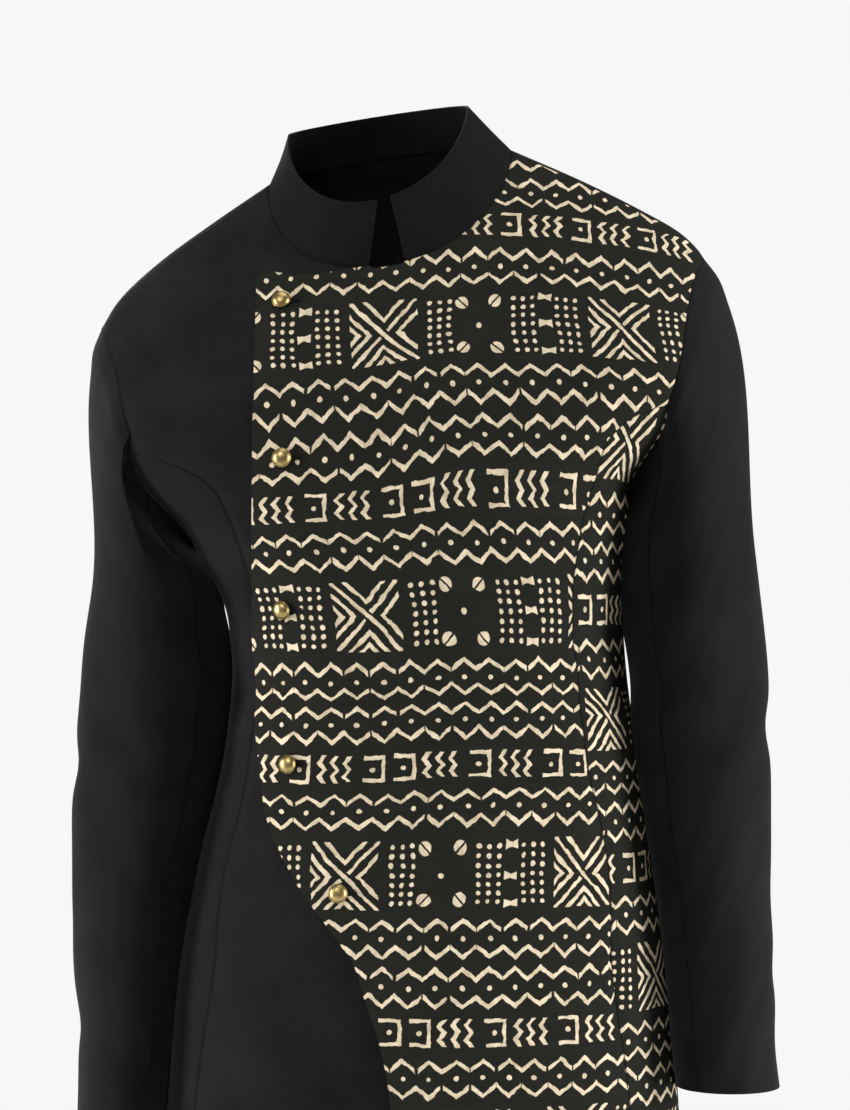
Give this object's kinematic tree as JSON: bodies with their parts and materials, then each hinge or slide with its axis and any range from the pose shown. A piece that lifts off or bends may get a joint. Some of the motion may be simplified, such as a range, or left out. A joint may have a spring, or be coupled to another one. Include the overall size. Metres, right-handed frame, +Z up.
{
  "type": "mud cloth jacket",
  "caption": "Worn, hollow stand-collar jacket with a printed front lapped far to one side over a plain one, domed buttons down its edge and long two-piece sleeves.",
  "frame": {"origin": "midway between the two points where the shoulder seams meet the collar", "axes": "+Z up, -Y out of the front, +X towards the jacket's own left side"},
  "size_m": [0.531, 0.2569, 0.8172],
  "materials": {
    "black_cloth": "matte twill",
    "mud_cloth": "matte strip-woven cotton, printed",
    "brass": "satin"
  },
  "bodies": {
    "root": {"front_right_centre": "black_cloth", "front_right_side": "black_cloth", "front_left_centre": "mud_cloth", "front_left_side": "mud_cloth", "back_left": "black_cloth", "back_right": "black_cloth", "collar": "black_cloth", "sleeve_right_upper": "black_cloth", "sleeve_right_under": "black_cloth", "sleeve_left_upper": "black_cloth", "sleeve_left_under": "black_cloth", "button_1": "brass", "button_2": "brass", "button_3": "brass", "button_4": "brass", "button_5": "brass"}
  },
  "joints": []
}
